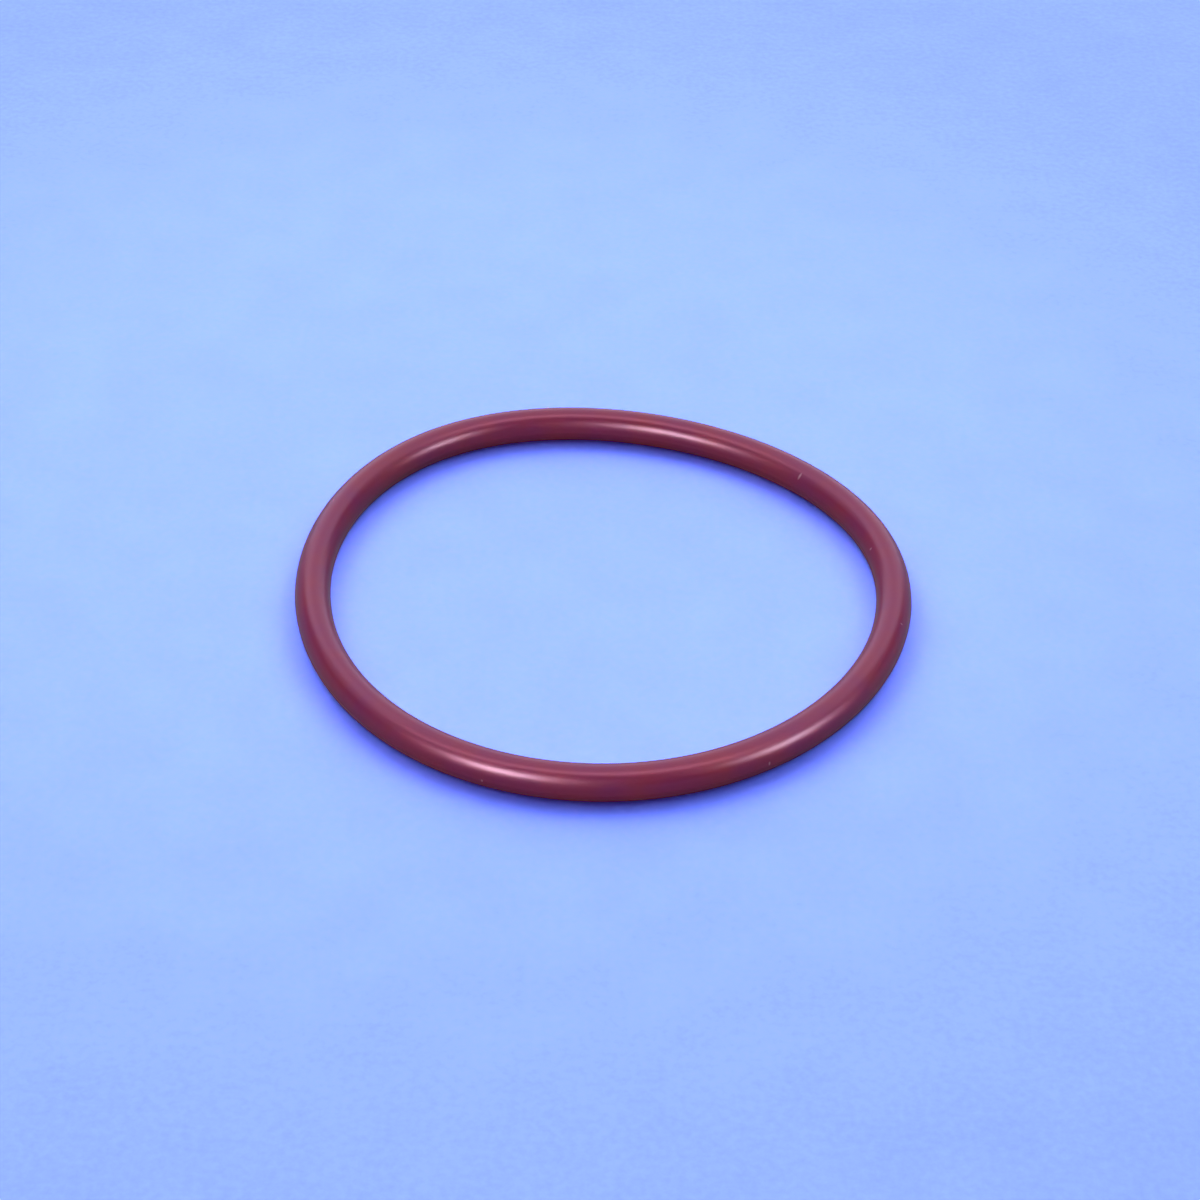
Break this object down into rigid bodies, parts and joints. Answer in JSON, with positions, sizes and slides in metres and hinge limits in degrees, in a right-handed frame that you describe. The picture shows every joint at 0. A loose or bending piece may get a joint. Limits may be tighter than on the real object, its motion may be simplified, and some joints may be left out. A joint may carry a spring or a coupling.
{
  "type": "torque converter seal",
  "caption": "Round-section elastomer sealing ring, dark red, moulded in one piece, lying flat and relaxed; it seals a hub against its housing.",
  "frame": {"origin": "middle of the ring, halfway up its thickness", "axes": "+Z along the ring's axis, square to the plane it lies in; +X and +Y in that plane"},
  "size_m": [0.0614, 0.0614, 0.0036],
  "materials": {
    "elastomer": "semi-gloss dark red moulded elastomer"
  },
  "bodies": {
    "root": {"seal_ring": "elastomer"}
  },
  "joints": []
}
